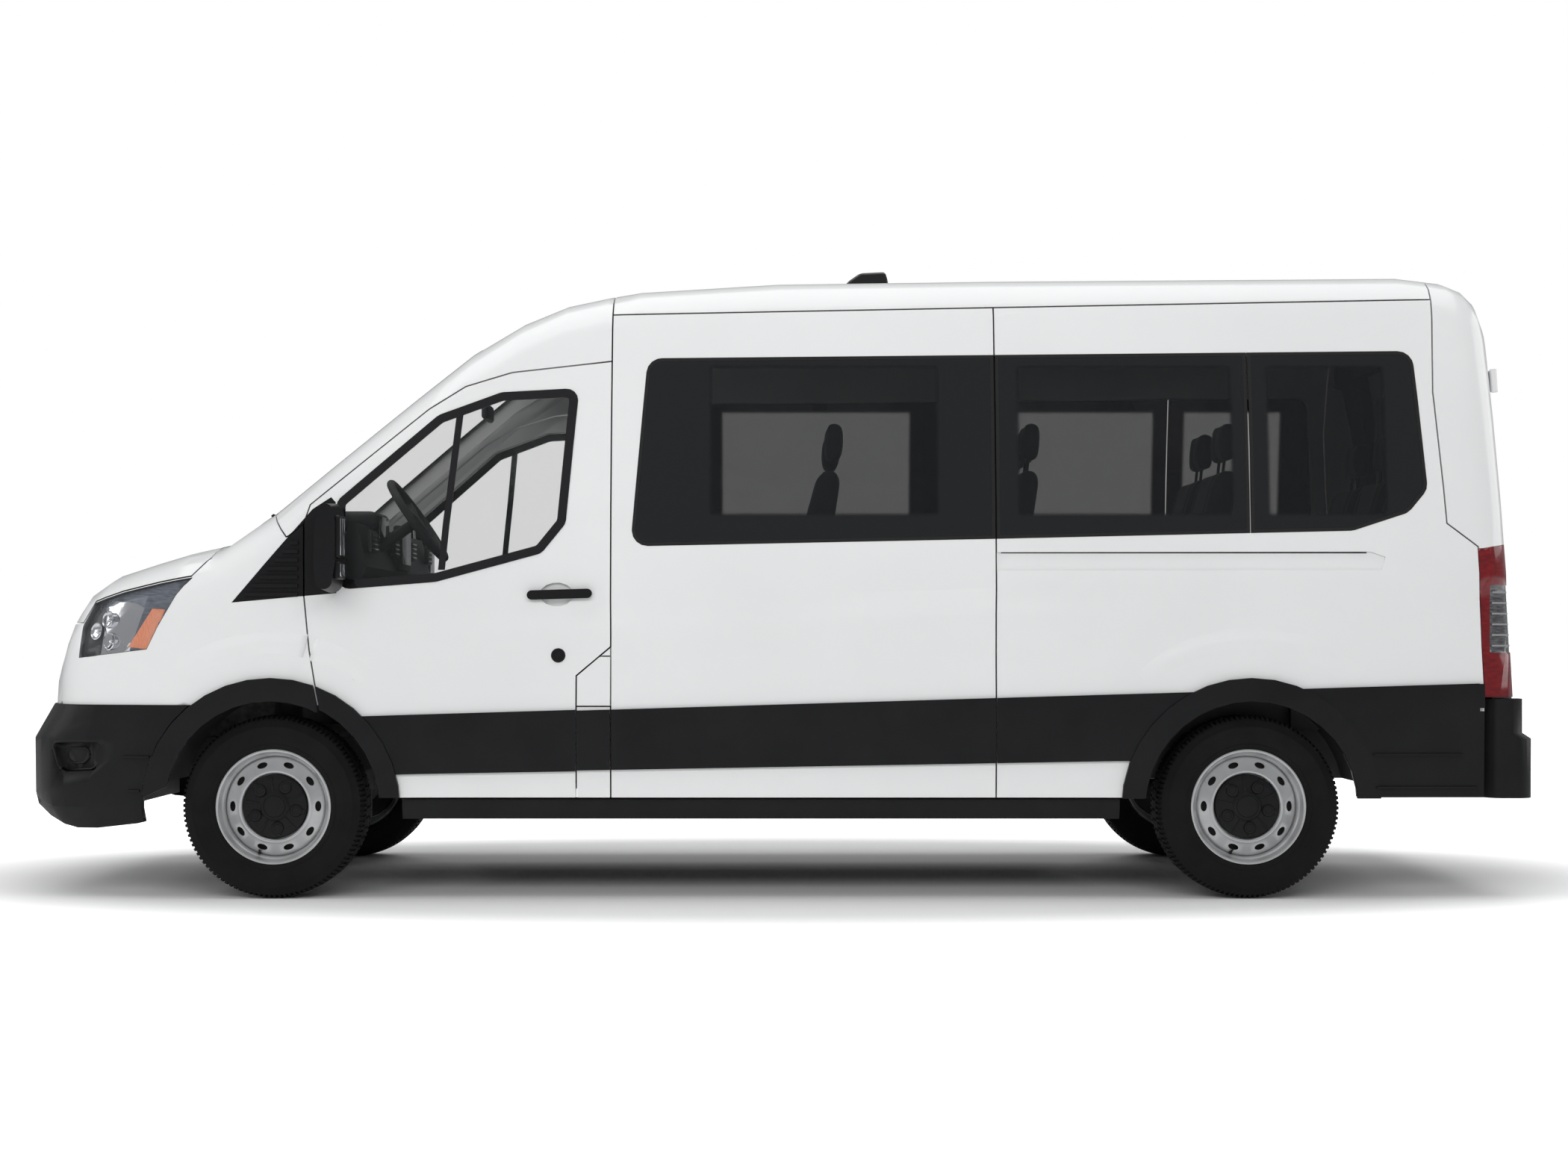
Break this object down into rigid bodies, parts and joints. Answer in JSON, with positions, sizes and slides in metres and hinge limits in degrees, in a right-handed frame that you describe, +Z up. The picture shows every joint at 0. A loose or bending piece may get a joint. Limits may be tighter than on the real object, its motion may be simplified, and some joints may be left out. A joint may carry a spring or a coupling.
{
  "type": "passenger van",
  "caption": "Medium-roof long-wheelbase passenger van on steel wheels, with steering front wheels, hinged cab doors, twin rear doors, bonnet and fuel flap.",
  "frame": {"origin": "on the ground, under the middle of the overall length and width", "axes": "+X forward to the nose, +Y to the driver's left, +Z up"},
  "size_m": [5.89, 2.474, 2.4971],
  "materials": {
    "paint_white": "gloss",
    "black_plastic": "grained",
    "dark_glass": "gloss",
    "clear_glass": "gloss",
    "tyre": "matte",
    "wheel_silver": "satin",
    "lamp_clear": "gloss",
    "lamp_red": "gloss",
    "chassis": "matte",
    "structure": "matte",
    "cast_metal": "matte",
    "engine": "cast",
    "steel": "satin",
    "interior_plastic": "grained",
    "seat_cloth": "woven"
  },
  "bodies": {
    "body": {"floor_pan": "structure", "frame_rails": "chassis", "power_unit": "engine", "fuel_tank": "black_plastic", "exhaust": "steel", "front_suspension": "chassis", "rear_axle": "chassis", "leaf_springs": "chassis", "body_frame": "structure", "roof": "paint_white", "cab_upper": "paint_white", "side_panel_left": "paint_white", "quarter_left": "paint_white", "quarter_right": "paint_white", "sliding_door": "paint_white", "rear_corner_frame": "paint_white", "fenders": "paint_white", "grille": "black_plastic", "front_bumper": "black_plastic", "rear_bumper": "black_plastic", "headlamps": "lamp_clear", "tail_lamps": "lamp_red", "windscreen": "clear_glass", "cowl": "black_plastic", "side_windows": "dark_glass", "body_mouldings": "black_plastic", "side_sills": "black_plastic", "rear_hinges": "paint_white", "antenna": "black_plastic", "dashboard": "interior_plastic", "front_seats": "seat_cloth", "rear_seats": "seat_cloth"},
    "hood": {"hood": "paint_white"},
    "fuel_flap": {"fuel_flap": "paint_white"},
    "front_door_left": {"front_door_left": "paint_white", "front_glass_left": "clear_glass", "door_fittings_left": "black_plastic"},
    "front_door_right": {"front_door_right": "paint_white", "front_glass_right": "clear_glass", "door_fittings_right": "black_plastic"},
    "rear_door_left": {"rear_door_left": "paint_white", "rear_glass_left": "dark_glass"},
    "rear_door_right": {"rear_door_right": "paint_white", "rear_glass_right": "dark_glass"},
    "steering_wheel": {"steering_wheel": "interior_plastic"},
    "knuckle_left": {"knuckle_left": "cast_metal"},
    "knuckle_right": {"knuckle_right": "cast_metal"},
    "wheel_front_left": {"wheel_front_left": "wheel_silver", "tyre_front_left": "tyre"},
    "wheel_front_right": {"wheel_front_right": "wheel_silver", "tyre_front_right": "tyre"},
    "wheel_rear_left": {"wheel_rear_left": "wheel_silver", "tyre_rear_left": "tyre"},
    "wheel_rear_right": {"wheel_rear_right": "wheel_silver", "tyre_rear_right": "tyre"}
  },
  "joints": [
    {"name": "hood_hinge", "type": "hinge", "parent": "body", "child": "hood", "pos_m": [2.15, 0, 1.42], "axis": [0, -1, 0], "range_deg": [0, 55]},
    {"name": "front_door_left_hinge", "type": "hinge", "parent": "body", "child": "front_door_left", "pos_m": [1.792, 1.036, 1], "axis": [0, 0, -1], "range_deg": [0, 68]},
    {"name": "front_door_right_hinge", "type": "hinge", "parent": "body", "child": "front_door_right", "pos_m": [1.792, -1.036, 1], "axis": [0, 0, 1], "range_deg": [0, 68]},
    {"name": "rear_door_left_hinge", "type": "hinge", "parent": "body", "child": "rear_door_left", "pos_m": [-2.87135, 0.838, 1], "axis": [-0.0549, 0, -0.9985], "range_deg": [0, 90]},
    {"name": "rear_door_right_hinge", "type": "hinge", "parent": "body", "child": "rear_door_right", "pos_m": [-2.87135, -0.838, 1], "axis": [0.0549, 0, 0.9985], "range_deg": [0, 90]},
    {"name": "fuel_flap_hinge", "type": "hinge", "parent": "body", "child": "fuel_flap", "pos_m": [0.612, 1.022, 0.85], "axis": [0, 0, 1], "range_deg": [0, 85]},
    {"name": "steer_left", "type": "hinge", "parent": "body", "child": "knuckle_left", "pos_m": [1.915, 0.78, 0.352], "axis": [0, 0, 1], "range_deg": [-33, 33]},
    {"name": "steer_right", "type": "hinge", "parent": "body", "child": "knuckle_right", "pos_m": [1.915, -0.78, 0.352], "axis": [0, 0, 1], "range_deg": [-33, 33]},
    {"name": "steering_wheel_turn", "type": "hinge", "parent": "body", "child": "steering_wheel", "pos_m": [1.445, 0.4, 1.48], "axis": [-0.8192, 0, 0.5736], "range_deg": [-500, 500]},
    {"name": "wheel_front_left_spin", "type": "hinge", "parent": "knuckle_left", "child": "wheel_front_left", "pos_m": [1.915, 0.87, 0.352], "axis": [0, 1, 0], "continuous": true},
    {"name": "wheel_front_right_spin", "type": "hinge", "parent": "knuckle_right", "child": "wheel_front_right", "pos_m": [1.915, -0.87, 0.352], "axis": [0, 1, 0], "continuous": true},
    {"name": "wheel_rear_left_spin", "type": "hinge", "parent": "body", "child": "wheel_rear_left", "pos_m": [-1.835, 0.87, 0.352], "axis": [0, 1, 0], "continuous": true},
    {"name": "wheel_rear_right_spin", "type": "hinge", "parent": "body", "child": "wheel_rear_right", "pos_m": [-1.835, -0.87, 0.352], "axis": [0, 1, 0], "continuous": true}
  ],
  "couplings": [
    {"joint": "steer_right", "follows": "steer_left", "ratio": 1},
    {"joint": "steering_wheel_turn", "follows": "steer_left", "ratio": 15}
  ]
}
